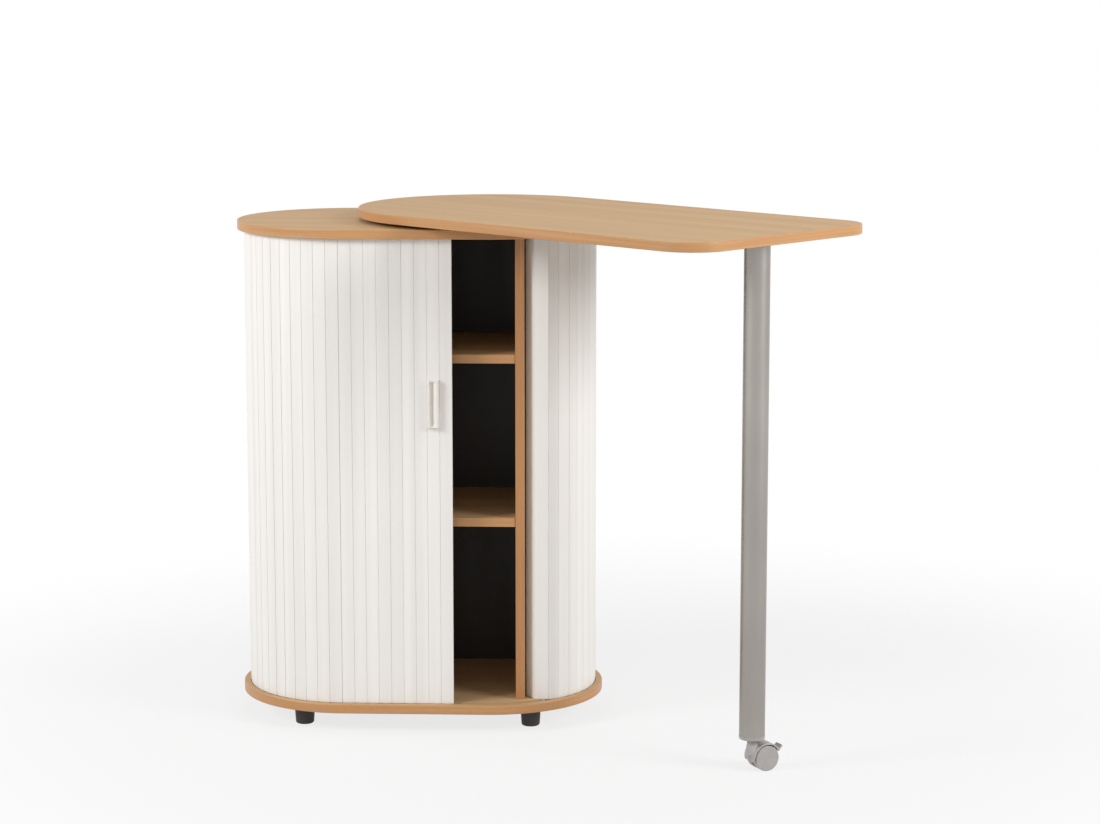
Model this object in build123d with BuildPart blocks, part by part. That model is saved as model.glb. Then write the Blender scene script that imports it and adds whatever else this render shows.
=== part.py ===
from build123d import *
import math
import os

os.makedirs("parts", exist_ok=True)

# Bar-height kitchen cabinet with a sliding slatted curtain and a table that swings
# round on its top, carried at the outer end by a tube leg on a braked castor.
# Millimetres. +Z is up, the front faces -Y, and the origin is on the floor under
# the middle of the cabinet.

# Boards of the cabinet
STRAIGHT_HALF = 145.0  # half length of the straight front and back
PANEL_R = 228.0  # radius of the round ends of base and top
PANEL_T = 19.0  # base, cabinet top and table board
BAND_T = 2.5  # edging glued round those boards
EDGE_ROUND = 1.8
FOOT_H = 40.0
CABINET_H = 1020.0  # floor to the face of the cabinet top
BOARD_T = 18.0  # dividers and shelves
STRIP_T = 1.5  # edging on the front of dividers and shelves
CLEAR_W = 404.0  # between the dividers
DIVIDER_FRONT = 172.5  # front of the dividers, ahead of the centre line
DIVIDER_REAR = 180.0
BACK_T = 8.0
BACK_SETBACK = 10.0  # back board ahead of the rear edge of the dividers
BACK_HOUSING = 6.0  # depth of the grooves that hold the back board
LOWER_SHELF_TOP = 433.0
UPPER_SHELF_TOP = 765.0
SHELF_SETBACK = 2.0
SHELF_PLAY = 0.5
GLUE_GAP = 0.05  # between a glued or driven piece and its seat

# Fasteners of the cabinet
SCREW_R = 3.2
SCREW_HEAD_R = 5.0
SCREW_HEAD_H = 3.0
SCREW_BITE = 36.0  # length of a base screw inside a divider
SCREW_ROWS = (-120.0, 0.0, 120.0)
DOWEL_R = 4.0
DOWEL_IN_TOP = 10.0
DOWEL_IN_DIVIDER = 20.0
DOWEL_ROWS = (-110.0, 110.0)
PEG_R = 2.5
PEG_IN_DIVIDER = 10.0
PEG_UNDER_SHELF = 8.0
PEG_ROWS = (-120.0, 110.0)

# Feet
FOOT_X = 231.0
FOOT_Y = 150.0
FOOT_TOP_R = 21.0
FOOT_SOLE_R = 18.5
FOOT_ROUND = 4.0
FOOT_BORE_R = 5.6
FOOT_SEAT = 14.0  # plastic left above the screw head
FOOT_SCREW_R = 2.3
FOOT_SCREW_HEAD_R = 5.0
FOOT_SCREW_HEAD_H = 3.0
FOOT_SCREW_BITE = 9.0

# Slatted curtain and its groove
OVERHANG = 14.0  # base and top stand out past the slats
SLAT_T = 9.0
SLAT_PITCH = 25.0
SLAT_JOINT = 0.5  # open joint between two slats
SLAT_BEVEL = 0.3
SLAT_TAPER = 1.5  # draft of a slat's flank
SLAT_END_GAP = 1.0  # above the base and below the top
LIP_REACH = 2.0  # lip that covers the joint from behind
LIP_T = 1.0
RELIEF_U = 3.6  # room for the neighbour's lip
RELIEF_V = 5.0
TONGUE_L = 12.0
TONGUE_T = 4.0
GROOVE_W = 12.0
GROOVE_D = 7.0
RUN_GAP = 0.3  # running clearance
TONGUE_TOP_GAP = 1.5
LEAD_EDGE_X = 78.7  # leading edge of the half-open curtain, right of the middle
TRAVEL = 178.0  # from half open to closed
OPEN_TRAVEL = 281.0  # left free behind the curtain, to open it fully
TAIL_GAP = 6.0
FIXED_SHIFT = 10.0  # groove left empty at the inner end of the fixed run
STRAIGHT_TURN = 0.001  # two slats that turn less, in radians, stand in line
RETURN_R = 34.0  # the fixed run turns inwards on this radius
POCKET_LENGTH = 50.0  # and then runs back beside the right divider
POCKET_GAP = 2.0

# Pull on the second slat
PULL_SLAT = 1
PULL_W = 22.0
PULL_H = 96.0
PULL_DEPTH = 10.0
PULL_MID_Z = 672.0
PULL_ROUND = 2.5
SCOOP_W = 14.0
SCOOP_DEPTH = 7.0
SCOOP_BOW = 1.75  # bow of the scoop's floor
SCOOP_END = 4.5
SCOOP_ROUND = 0.8
PULL_SCREW_R = 1.75
PULL_SCREW_HEAD_R = 3.5
PULL_SCREW_HEAD_H = 2.0
PULL_SCREW_BITE = 3.2  # stops short of the scoop
PULL_SCREW_SPACING = 84.0

# Swinging table and its pivot
TABLE_GAP = 7.0  # between the cabinet top and the table
TABLE_HALF_W = 270.0  # also the radius of the round end
TABLE_REACH = 783.0  # pivot to the outer end
TABLE_CORNER_R = 82.0
TABLE_ANGLE = -41.4  # long axis of the table, turned from +X
GLIDE_R = 80.0
GLIDE_HOLE_R = 22.0
GLIDE_SCREW_PCD = 104.0
GLIDE_SCREW_ANGLES = (90.0, 210.0, 330.0)
GLIDE_SCREW_R = 2.0
GLIDE_SCREW_HEAD_R = 4.0
GLIDE_SCREW_HEAD_H = 2.4
GLIDE_SCREW_BITE = 12.0
BOLT_R = 6.0
BOLT_RUN = 0.08
BOLT_HEAD_FLATS = 19.0
BOLT_HEAD_H = 7.5
WASHER_R = 15.0
WASHER_T = 2.5
BUSH_WALL = 3.0
BUSH_FLANGE_R = 16.0
BUSH_FLANGE_T = 2.0
NUT_WALL = 3.0
NUT_L = 14.0

# Leg
LEG_REACH = 703.0  # pivot to leg
TUBE_R = 25.0
TUBE_WALL = 2.0
SOCKET_H = 26.0
SOCKET_WALL = 4.0
SOCKET_SCREW_PCD = 26.0
SOCKET_SCREW_ANGLES = (60.0, 180.0, 300.0)
SOCKET_SCREW_R = 2.0
SOCKET_SCREW_HEAD_R = 4.0
SOCKET_SCREW_HEAD_H = 2.6
SOCKET_SCREW_BITE = 13.0
GRUB_R = 3.0
GRUB_DROP = 15.0
CAP_LIP_H = 7.0
CAP_LIP_STEP = 0.4  # lip stands proud of the tube
CAP_PLUG_H = 20.0
CAP_ROUND = 2.5
STEM_R = 5.0
STEM_IN_CAP = 16.0

# Castor
CASTOR_H = 63.5  # floor to the underside of the leg cap
CASTOR_ANGLE = 28.0  # trailing direction, turned from +X
TRAIL = 24.5
WHEEL_R = 25.0
WHEEL_ROUND = 1.5
WHEEL_DOME = 0.8
CASTOR_W = 40.0
WEB_T = 7.2
WEB_FLOOR = 15.0
WHEEL_SIDE_GAP = 0.9
HOOD_GAP = 2.0
HOOD_WALL = 3.4
HOOD_ROUND = 1.6
HOOD_FRONT_ANGLE = 192.0
HOOD_REAR_ANGLE = 35.0
NECK_TOP_R = 8.5
NECK_FOOT_R = 13.0
NECK_FOOT_Z = 33.0
NECK_GAP = 1.0
AXLE_R = 3.0
AXLE_END_GAP = 4.0
LEVER_ANGLE = 24.0  # place of the brake's pivot on the wheels' circle
LEVER_PIVOT_R = 31.5
TAB_ANGLE = 40.0
LEVER_BARREL_R = 3.5
LEVER_PIN_R = 1.6
LEVER_W = 22.0
LEVER_L = 11.5
LEVER_T = 3.2
LEVER_CORNER_R = 1.5
LUG_R = 4.0
LUG_GAP = 0.8

# Levels and places that follow from those sizes
BASE_TOP = FOOT_H + PANEL_T
TOP_UNDER = CABINET_H - PANEL_T
DIVIDER_H = TOP_UNDER - BASE_TOP
DIVIDER_X = CLEAR_W / 2 + BOARD_T / 2
DIVIDER_FACE = CLEAR_W / 2 + BOARD_T
BACK_FRONT = DIVIDER_REAR - BACK_SETBACK - BACK_T
SHELF_FRONT = -DIVIDER_FRONT + SHELF_SETBACK
SHELF_W = CLEAR_W - 2 * SHELF_PLAY
SHELF_D = BACK_FRONT - SHELF_PLAY - SHELF_FRONT - STRIP_T
PATH_R = PANEL_R - OVERHANG - SLAT_T / 2
SLAT_Z = BASE_TOP + SLAT_END_GAP
SLAT_H = DIVIDER_H - 2 * SLAT_END_GAP
TABLE_Z = CABINET_H + TABLE_GAP
PIVOT = (STRAIGHT_HALF, 0)


def along(angle, distance, start=(0, 0)):
    """Point at a distance from a start, in a direction given in degrees."""
    turn = math.radians(angle)
    return (start[0] + distance * math.cos(turn), start[1] + distance * math.sin(turn))


def bore(places, low, high, radius):
    """Round upright holes in the part being built, between two levels."""
    with BuildSketch(Plane.XY.offset(low)) as rounds:
        with Locations(*places):
            Circle(radius)
    extrude(rounds.sketch, amount=high - low, mode=Mode.SUBTRACT)


def pegs(places, low, high, radius):
    """Round upright shanks in the part being built, between two levels."""
    with BuildSketch(Plane.XY.offset(low)) as rounds:
        with Locations(*places):
            Circle(radius)
    extrude(rounds.sketch, amount=high - low)


# The curtain's groove: back straight, left end, front straight, right end, walked in
# the closing direction. A step is a length and, on a bend, its radius.
END_LENGTH = math.pi * PATH_R
CURTAIN_START = (STRAIGHT_HALF, PATH_R, 180.0)
CURTAIN_STEPS = (
    (2 * STRAIGHT_HALF, None),
    (END_LENGTH, PATH_R),
    (2 * STRAIGHT_HALF, None),
    (END_LENGTH, PATH_R),
)
FRONT_AT = 2 * STRAIGHT_HALF + END_LENGTH  # distance where the front straight starts

# The fixed run: out of the pocket beside the divider, round the return and the right end.
# It stops short of the back, where the open curtain is parked.
POCKET_X = DIVIDER_FACE + POCKET_GAP + SLAT_T / 2
RETURN_ANGLE = math.degrees(
    math.asin((POCKET_X + RETURN_R - STRAIGHT_HALF) / (PATH_R - RETURN_R))
)
RETURN_CENTRE = along(RETURN_ANGLE - 90, PATH_R - RETURN_R, PIVOT)
RETURN_LENGTH = RETURN_R * math.radians(RETURN_ANGLE + 90)
FIXED_START = (POCKET_X, RETURN_CENTRE[1] + POCKET_LENGTH, -90.0)
FIXED_STEPS = (
    (POCKET_LENGTH, None),
    (RETURN_LENGTH, RETURN_R),
    (PATH_R * math.radians(180 - RETURN_ANGLE), PATH_R),
    (2 * STRAIGHT_HALF, None),
)


def pose_at(start, steps, distance):
    """Place and heading on a walk of straights and left-hand bends."""
    x, y, heading = start
    for length, radius in steps:
        step = min(distance, length)
        if radius is None:
            x, y = along(heading, step, (x, y))
        else:
            centre = along(heading + 90, radius, (x, y))
            heading += math.degrees(step / radius)
            x, y = along(heading - 90, radius, centre)
        distance -= step
    return Location((x, y, 0), (0, 0, heading))


# Slats of the curtain by their distance along the groove, the leading one first
lead_at = FRONT_AT + STRAIGHT_HALF + LEAD_EDGE_X - SLAT_PITCH / 2
slat_count = int((lead_at - 2 * STRAIGHT_HALF + TRAVEL) / SLAT_PITCH) + 1
slat_at = [lead_at - SLAT_PITCH * number for number in range(slat_count)]
front_end = FRONT_AT + 2 * STRAIGHT_HALF
lead_run = [at for at in slat_at if at + TRAVEL > front_end]
front_run = [at for at in slat_at if at >= FRONT_AT and at + TRAVEL <= front_end]
turn_run = [at for at in slat_at if at < FRONT_AT < at + TRAVEL]
side_run = [at for at in slat_at if at > 2 * STRAIGHT_HALF and at + TRAVEL <= FRONT_AT]
back_run = [at for at in slat_at if at <= 2 * STRAIGHT_HALF]
tail_at = slat_at[-1] - SLAT_PITCH / 2

fixed_end = sum(length for length, radius in FIXED_STEPS[:3]) + tail_at - OPEN_TRAVEL - TAIL_GAP
fixed_count = int((fixed_end - FIXED_SHIFT) / SLAT_PITCH)
fixed_run = [FIXED_SHIFT + SLAT_PITCH * (number + 0.5) for number in range(fixed_count)]

slat_half = (SLAT_PITCH - SLAT_JOINT) / 2
slat_inner = SLAT_T / 2
slat_lip_edge = [
    (-slat_half - LIP_REACH, slat_inner),
    (-slat_half - LIP_REACH, slat_inner - LIP_T),
    (-slat_half + SLAT_TAPER, slat_inner - LIP_T),
    (-slat_half, -slat_inner + SLAT_BEVEL),
    (-slat_half + SLAT_BEVEL, -slat_inner),
    (slat_half - SLAT_BEVEL, -slat_inner),
    (slat_half, -slat_inner + SLAT_BEVEL),
]
slat_relief = [
    (slat_half - SLAT_TAPER / 2, slat_inner - RELIEF_V),
    (slat_half - RELIEF_U, slat_inner - RELIEF_V),
    (slat_half - RELIEF_U, slat_inner),
]
slat_closing_edge = [(slat_half, slat_inner)]

# Section of a slat: outer face towards -Y, lip on the trailing side
with BuildSketch() as slat_section:
    with BuildLine():
        Polyline(*slat_lip_edge, *slat_relief, close=True)
    make_face()

# Section of the leading slat, square at its closing edge
with BuildSketch() as lead_section:
    with BuildLine():
        Polyline(*slat_lip_edge, *slat_closing_edge, close=True)
    make_face()


def fixed_place(at):
    """Place of a fixed slat by its distance along the fixed run."""
    return pose_at(FIXED_START, FIXED_STEPS, at)


def mitred_section(at):
    """Section of a fixed slat, cut at half the angle to the slats on both sides of it."""
    ends = []
    for neighbour in (fixed_place(at - SLAT_PITCH), fixed_place(at + SLAT_PITCH)):
        seen = fixed_place(at).inverse() * neighbour
        side = math.copysign(1, seen.position.X)
        turn = math.radians(seen.orientation.Z)
        meet = seen.position.X / 2
        if abs(turn) > STRAIGHT_TURN:
            meet = seen.position.X - seen.position.Y / math.tan(turn)
        flare = slat_inner * math.tan(abs(turn) / 2)
        outer = meet + side * (flare - SLAT_JOINT / 2)
        inner = meet - side * (flare + SLAT_JOINT / 2)
        ends.append(
            [
                (inner, slat_inner),
                (outer, -slat_inner + SLAT_BEVEL),
                (outer - side * SLAT_BEVEL, -slat_inner),
            ]
        )
    with BuildSketch() as section:
        with BuildLine() as outline:
            Polyline(*ends[0], *reversed(ends[1]), close=True)
        make_face(outline.edges())
    return section


def stand_slats(section, places):
    """Upright slats with a guide tongue at both ends, in the part being built."""
    with BuildSketch(Plane.XY.offset(SLAT_Z)) as bodies:
        with Locations(*places):
            add(section.sketch)
    extrude(bodies.sketch, amount=SLAT_H)
    tongue_low = BASE_TOP - GROOVE_D + RUN_GAP
    tongue_high = TOP_UNDER + GROOVE_D - TONGUE_TOP_GAP
    with BuildSketch(Plane.XY.offset(tongue_low)) as tongues:
        with Locations(*places):
            Rectangle(TONGUE_L, TONGUE_T)
    extrude(tongues.sketch, amount=tongue_high - tongue_low)


def rout_groove(low):
    """Groove of the curtain and of the fixed run, in the board being built."""
    with BuildSketch(Plane.XY.offset(low)) as groove:
        SlotCenterToCenter(2 * STRAIGHT_HALF, 2 * PATH_R + GROOVE_W)
        SlotCenterToCenter(2 * STRAIGHT_HALF, 2 * PATH_R - GROOVE_W, mode=Mode.SUBTRACT)
        with BuildLine():
            pocket_end = (POCKET_X, RETURN_CENTRE[1])
            Line(FIXED_START[:2], pocket_end)
            CenterArc(RETURN_CENTRE, RETURN_R, 180, 90 + RETURN_ANGLE)
        trace(line_width=GROOVE_W)
    extrude(groove.sketch, amount=GROOVE_D, mode=Mode.SUBTRACT)


foot_places = [(x, y) for x in (-FOOT_X, FOOT_X) for y in (-FOOT_Y, FOOT_Y)]
screw_places = [(x, y) for x in (-DIVIDER_X, DIVIDER_X) for y in SCREW_ROWS]
dowel_places = [(x, y) for x in (-DIVIDER_X, DIVIDER_X) for y in DOWEL_ROWS]
glide_screw_places = [along(angle, GLIDE_SCREW_PCD / 2, PIVOT) for angle in GLIDE_SCREW_ANGLES]

# Base board, with the groove on top and the holes for its screws
with BuildPart() as base_panel:
    with BuildSketch(Plane.XY.offset(FOOT_H)):
        SlotCenterToCenter(2 * STRAIGHT_HALF, 2 * (PANEL_R - BAND_T))
    extrude(amount=PANEL_T)
    rout_groove(BASE_TOP - GROOVE_D)
    bore(screw_places, FOOT_H, BASE_TOP, SCREW_R + GLUE_GAP)
    bore(screw_places, FOOT_H, FOOT_H + SCREW_HEAD_H + GLUE_GAP, SCREW_HEAD_R + GLUE_GAP)
    bore(foot_places, FOOT_H, FOOT_H + FOOT_SCREW_BITE + GLUE_GAP, FOOT_SCREW_R + GLUE_GAP)
base_panel.part.label = "base_panel"
export_step(base_panel.part, "parts/base_panel.step")

# Cabinet top, with the groove underneath and the bore of the pivot
with BuildPart() as top_panel:
    with BuildSketch(Plane.XY.offset(TOP_UNDER)):
        SlotCenterToCenter(2 * STRAIGHT_HALF, 2 * (PANEL_R - BAND_T))
    extrude(amount=PANEL_T)
    rout_groove(TOP_UNDER)
    bore(dowel_places, TOP_UNDER, TOP_UNDER + DOWEL_IN_TOP + GLUE_GAP, DOWEL_R + GLUE_GAP)
    bore([PIVOT], TOP_UNDER, CABINET_H, BOLT_R + BOLT_RUN + BUSH_WALL + GLUE_GAP)
    bore(glide_screw_places, CABINET_H - GLIDE_SCREW_BITE, CABINET_H, GLIDE_SCREW_R + GLUE_GAP)
top_panel.part.label = "top_panel"
export_step(top_panel.part, "parts/top_panel.step")

# Edging round the base board
with BuildPart() as base_edge_band:
    with BuildSketch(Plane.XY.offset(FOOT_H)):
        SlotCenterToCenter(2 * STRAIGHT_HALF, 2 * PANEL_R)
        SlotCenterToCenter(2 * STRAIGHT_HALF, 2 * (PANEL_R - BAND_T + GLUE_GAP), mode=Mode.SUBTRACT)
    extrude(amount=PANEL_T)
    rims = base_edge_band.faces().filter_by(Axis.Z)
    fillet([edge for rim in rims for edge in rim.outer_wire().edges()], EDGE_ROUND)
base_edge_band.part.label = "base_edge_band"
export_step(base_edge_band.part, "parts/base_edge_band.step")

# Edging round the cabinet top
with BuildPart() as top_edge_band:
    with BuildSketch(Plane.XY.offset(TOP_UNDER)):
        SlotCenterToCenter(2 * STRAIGHT_HALF, 2 * PANEL_R)
        SlotCenterToCenter(2 * STRAIGHT_HALF, 2 * (PANEL_R - BAND_T + GLUE_GAP), mode=Mode.SUBTRACT)
    extrude(amount=PANEL_T)
    rims = top_edge_band.faces().filter_by(Axis.Z)
    fillet([edge for rim in rims for edge in rim.outer_wire().edges()], EDGE_ROUND)
top_edge_band.part.label = "top_edge_band"
export_step(top_edge_band.part, "parts/top_edge_band.step")

peg_levels = [LOWER_SHELF_TOP - BOARD_T - PEG_R, UPPER_SHELF_TOP - BOARD_T - PEG_R]
peg_places = [(y, z) for y in PEG_ROWS for z in peg_levels]

# Dividers, housed for the back board and drilled for screws, dowels and shelf pegs
for side, name in ((-1, "divider_left"), (1, "divider_right")):
    inner_face = Plane(origin=(side * CLEAR_W / 2, 0, 0), x_dir=(0, 1, 0), z_dir=(1, 0, 0))
    with BuildPart() as divider:
        with BuildSketch(Plane.XY.offset(BASE_TOP)):
            depth = DIVIDER_FRONT - STRIP_T + DIVIDER_REAR
            with Locations((side * DIVIDER_X, DIVIDER_REAR - depth / 2)):
                Rectangle(BOARD_T, depth)
        extrude(amount=DIVIDER_H)
        with BuildSketch(Plane.XY.offset(BASE_TOP)):
            with Locations((side * (CLEAR_W + BACK_HOUSING) / 2, BACK_FRONT + BACK_T / 2)):
                Rectangle(BACK_HOUSING, BACK_T + 2 * GLUE_GAP)
        extrude(amount=DIVIDER_H, mode=Mode.SUBTRACT)
        bore(screw_places, BASE_TOP, BASE_TOP + SCREW_BITE + GLUE_GAP, SCREW_R + GLUE_GAP)
        bore(dowel_places, TOP_UNDER - DOWEL_IN_DIVIDER - GLUE_GAP, TOP_UNDER, DOWEL_R + GLUE_GAP)
        with BuildSketch(inner_face):
            with Locations(*peg_places):
                Circle(PEG_R + GLUE_GAP)
        extrude(amount=side * (PEG_IN_DIVIDER + GLUE_GAP), mode=Mode.SUBTRACT)
    divider.part.label = name
    export_step(divider.part, f"parts/{name}.step")

# Edging on the front of both dividers
with BuildPart() as divider_edges:
    with BuildSketch(Plane.XY.offset(BASE_TOP)):
        with Locations(*[(side * DIVIDER_X, -DIVIDER_FRONT + STRIP_T / 2) for side in (-1, 1)]):
            Rectangle(BOARD_T, STRIP_T)
    extrude(amount=DIVIDER_H)
divider_edges.part.label = "divider_edges"
export_step(divider_edges.part, "parts/divider_edges.step")

# Shelves, laid on their pegs between the dividers
for shelf_top, name in ((LOWER_SHELF_TOP, "shelf_lower"), (UPPER_SHELF_TOP, "shelf_upper")):
    with BuildPart() as shelf:
        with BuildSketch(Plane.XY.offset(shelf_top - BOARD_T)):
            with Locations((0, SHELF_FRONT + STRIP_T + SHELF_D / 2)):
                Rectangle(SHELF_W, SHELF_D)
        extrude(amount=BOARD_T)
    shelf.part.label = name
    export_step(shelf.part, f"parts/{name}.step")

# Edging on the front of both shelves
with BuildPart() as shelf_edges:
    for shelf_top in (LOWER_SHELF_TOP, UPPER_SHELF_TOP):
        with BuildSketch(Plane.XY.offset(shelf_top - BOARD_T)):
            with Locations((0, SHELF_FRONT + STRIP_T / 2)):
                Rectangle(SHELF_W, STRIP_T)
        extrude(amount=BOARD_T)
shelf_edges.part.label = "shelf_edges"
export_step(shelf_edges.part, "parts/shelf_edges.step")

# Back board, held in the grooves of the dividers
with BuildPart() as back_panel:
    with BuildSketch(Plane.XY.offset(BASE_TOP)):
        with Locations((0, BACK_FRONT + BACK_T / 2)):
            Rectangle(CLEAR_W + 2 * (BACK_HOUSING - GLUE_GAP), BACK_T)
    extrude(amount=DIVIDER_H)
back_panel.part.label = "back_panel"
export_step(back_panel.part, "parts/back_panel.step")

# Pegs under the shelves
with BuildPart() as shelf_pegs:
    for side in (-1, 1):
        start = side * (CLEAR_W / 2 - PEG_UNDER_SHELF)
        with BuildSketch(Plane(origin=(start, 0, 0), x_dir=(0, 1, 0), z_dir=(1, 0, 0))):
            with Locations(*peg_places):
                Circle(PEG_R)
        extrude(amount=side * (PEG_UNDER_SHELF + PEG_IN_DIVIDER))
shelf_pegs.part.label = "shelf_pegs"
export_step(shelf_pegs.part, "parts/shelf_pegs.step")

# Screws driven through the base into the dividers
with BuildPart() as base_screws:
    pegs(screw_places, FOOT_H, FOOT_H + SCREW_HEAD_H, SCREW_HEAD_R)
    pegs(screw_places, FOOT_H, BASE_TOP + SCREW_BITE, SCREW_R)
base_screws.part.label = "base_screws"
export_step(base_screws.part, "parts/base_screws.step")

# Dowels between the dividers and the cabinet top
with BuildPart() as top_dowels:
    pegs(dowel_places, TOP_UNDER - DOWEL_IN_DIVIDER, TOP_UNDER + DOWEL_IN_TOP, DOWEL_R)
top_dowels.part.label = "top_dowels"
export_step(top_dowels.part, "parts/top_dowels.step")

# Feet, tapered, rounded at the sole and bored for their screws
with BuildPart() as feet:
    with BuildSketch():
        with Locations(*foot_places):
            Circle(FOOT_SOLE_R)
    taper = -math.degrees(math.atan((FOOT_TOP_R - FOOT_SOLE_R) / FOOT_H))
    extrude(amount=FOOT_H, taper=taper)
    fillet(feet.edges().group_by(Axis.Z)[0], FOOT_ROUND)
    bore(foot_places, 0, FOOT_H - FOOT_SEAT, FOOT_BORE_R)
    bore(foot_places, FOOT_H - FOOT_SEAT, FOOT_H, FOOT_SCREW_R + GLUE_GAP)
feet.part.label = "feet"
export_step(feet.part, "parts/feet.step")

# Screws that hold the feet
with BuildPart() as foot_screws:
    seat = FOOT_H - FOOT_SEAT
    pegs(foot_places, seat - FOOT_SCREW_HEAD_H, seat, FOOT_SCREW_HEAD_R)
    pegs(foot_places, seat - FOOT_SCREW_HEAD_H, FOOT_H + FOOT_SCREW_BITE, FOOT_SCREW_R)
foot_screws.part.label = "foot_screws"
export_step(foot_screws.part, "parts/foot_screws.step")

# Slats that stay on the front straight
with BuildPart() as tambour_front_slats:
    stand_slats(slat_section, [pose_at(CURTAIN_START, CURTAIN_STEPS, at) for at in front_run])
tambour_front_slats.part.label = "tambour_front_slats"
export_step(tambour_front_slats.part, "parts/tambour_front_slats.step")

# Slats that stay on the left end
with BuildPart() as tambour_side_slats:
    stand_slats(slat_section, [pose_at(CURTAIN_START, CURTAIN_STEPS, at) for at in side_run])
tambour_side_slats.part.label = "tambour_side_slats"
export_step(tambour_side_slats.part, "parts/tambour_side_slats.step")

# Slats of the fixed run, mitred side by side, whose free edge turns in beside the right divider
fixed_sections = [mitred_section(at) for at in fixed_run]
with BuildPart() as tambour_fixed_slats:
    for at, fixed_section in zip(fixed_run, fixed_sections):
        stand_slats(fixed_section, [fixed_place(at)])
tambour_fixed_slats.part.label = "tambour_fixed_slats"
export_step(tambour_fixed_slats.part, "parts/tambour_fixed_slats.step")

pull_place = pose_at(CURTAIN_START, CURTAIN_STEPS, slat_at[PULL_SLAT])
pull_face = Plane(pull_place).offset(PULL_MID_Z - PULL_H / 2)
pull_screw_levels = [PULL_MID_Z - PULL_SCREW_SPACING / 2, PULL_MID_Z + PULL_SCREW_SPACING / 2]
pull_screw_places = [(0, level) for level in pull_screw_levels]
pull_inside = Plane(
    origin=(pull_place.position.X, pull_place.position.Y, 0),
    x_dir=pull_place.x_axis.direction,
    z_dir=-pull_place.y_axis.direction,
)

# Slats that pass a corner of the groove, each one a piece of its own
corner_runs = (("tambour_lead", lead_run), ("tambour_turn", turn_run), ("tambour_back", back_run))
for run_name, run in corner_runs:
    for number, at in enumerate(run):
        section = lead_section if at == lead_at else slat_section
        with BuildPart() as slat:
            stand_slats(section, [pose_at(CURTAIN_START, CURTAIN_STEPS, at)])
            if at == slat_at[PULL_SLAT]:
                with BuildSketch(pull_inside):
                    with Locations(*pull_screw_places):
                        Circle(PULL_SCREW_R + GLUE_GAP)
                extrude(amount=SLAT_T, both=True, mode=Mode.SUBTRACT)
        slat_name = f"{run_name}_slat_{number + 1}"
        slat.part.label = slat_name
        export_step(slat.part, f"parts/{slat_name}.step")

# Pull: a rounded block with a finger scoop, steep on the left and shallow on the right
with BuildPart() as tambour_pull:
    with BuildSketch(pull_face):
        with Locations((0, -slat_inner - PULL_DEPTH / 2)):
            Rectangle(PULL_W, PULL_DEPTH)
    extrude(amount=PULL_H)
    front = tambour_pull.faces().sort_by(-pull_place.y_axis)[-1]
    fillet(front.edges(), PULL_ROUND)
    with BuildSketch(pull_face.offset(SCOOP_END)):
        mouth = -slat_inner - PULL_DEPTH
        floor = mouth + SCOOP_DEPTH
        with BuildLine():
            Polyline((SCOOP_W / 2, mouth), (-SCOOP_W / 2, mouth), (-SCOOP_W / 2, floor))
            SagittaArc((-SCOOP_W / 2, floor), (SCOOP_W / 2, mouth), SCOOP_BOW)
        make_face()
    extrude(amount=PULL_H - 2 * SCOOP_END, mode=Mode.SUBTRACT)
    front = tambour_pull.faces().sort_by(-pull_place.y_axis)[-1]
    fillet(front.inner_wires().edges(), SCOOP_ROUND)
    with BuildSketch(pull_inside.offset(slat_inner)):
        with Locations(*pull_screw_places):
            Circle(PULL_SCREW_R + GLUE_GAP)
    extrude(amount=PULL_SCREW_BITE + GLUE_GAP, mode=Mode.SUBTRACT)
tambour_pull.part.label = "tambour_pull"
export_step(tambour_pull.part, "parts/tambour_pull.step")

# Screws of the pull, driven from behind the slat
with BuildPart() as pull_screws:
    with BuildSketch(pull_inside.offset(-slat_inner - PULL_SCREW_HEAD_H)):
        with Locations(*pull_screw_places):
            Circle(PULL_SCREW_HEAD_R)
    extrude(amount=PULL_SCREW_HEAD_H)
    with BuildSketch(pull_inside.offset(-slat_inner)):
        with Locations(*pull_screw_places):
            Circle(PULL_SCREW_R)
    extrude(amount=SLAT_T + PULL_SCREW_BITE)
pull_screws.part.label = "pull_screws"
export_step(pull_screws.part, "parts/pull_screws.step")

# Glide ring that the table turns on
with BuildPart() as glide_ring:
    with BuildSketch(Plane.XY.offset(CABINET_H)):
        with Locations(PIVOT):
            Circle(GLIDE_R)
            Circle(GLIDE_HOLE_R, mode=Mode.SUBTRACT)
    extrude(amount=TABLE_GAP - RUN_GAP)
    glide_top = CABINET_H + TABLE_GAP - RUN_GAP
    sink = glide_top - RUN_GAP - GLIDE_SCREW_HEAD_H
    bore(glide_screw_places, CABINET_H, glide_top, GLIDE_SCREW_R + GLUE_GAP)
    bore(glide_screw_places, sink, glide_top, GLIDE_SCREW_HEAD_R + GLUE_GAP)
glide_ring.part.label = "glide_ring"
export_step(glide_ring.part, "parts/glide_ring.step")

# Screws of the glide ring, sunk below its face
with BuildPart() as glide_screws:
    pegs(glide_screw_places, sink, sink + GLIDE_SCREW_HEAD_H, GLIDE_SCREW_HEAD_R)
    pegs(glide_screw_places, CABINET_H - GLIDE_SCREW_BITE, sink, GLIDE_SCREW_R)
glide_screws.part.label = "glide_screws"
export_step(glide_screws.part, "parts/glide_screws.step")

# Flanged bush in the cabinet top, in which the pivot bolt turns
with BuildPart() as pivot_bush:
    pegs([PIVOT], TOP_UNDER, CABINET_H, BOLT_R + BOLT_RUN + BUSH_WALL)
    pegs([PIVOT], CABINET_H, CABINET_H + BUSH_FLANGE_T, BUSH_FLANGE_R)
    bore([PIVOT], TOP_UNDER, CABINET_H + BUSH_FLANGE_T, BOLT_R + BOLT_RUN)
pivot_bush.part.label = "pivot_bush"
export_step(pivot_bush.part, "parts/pivot_bush.step")

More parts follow.
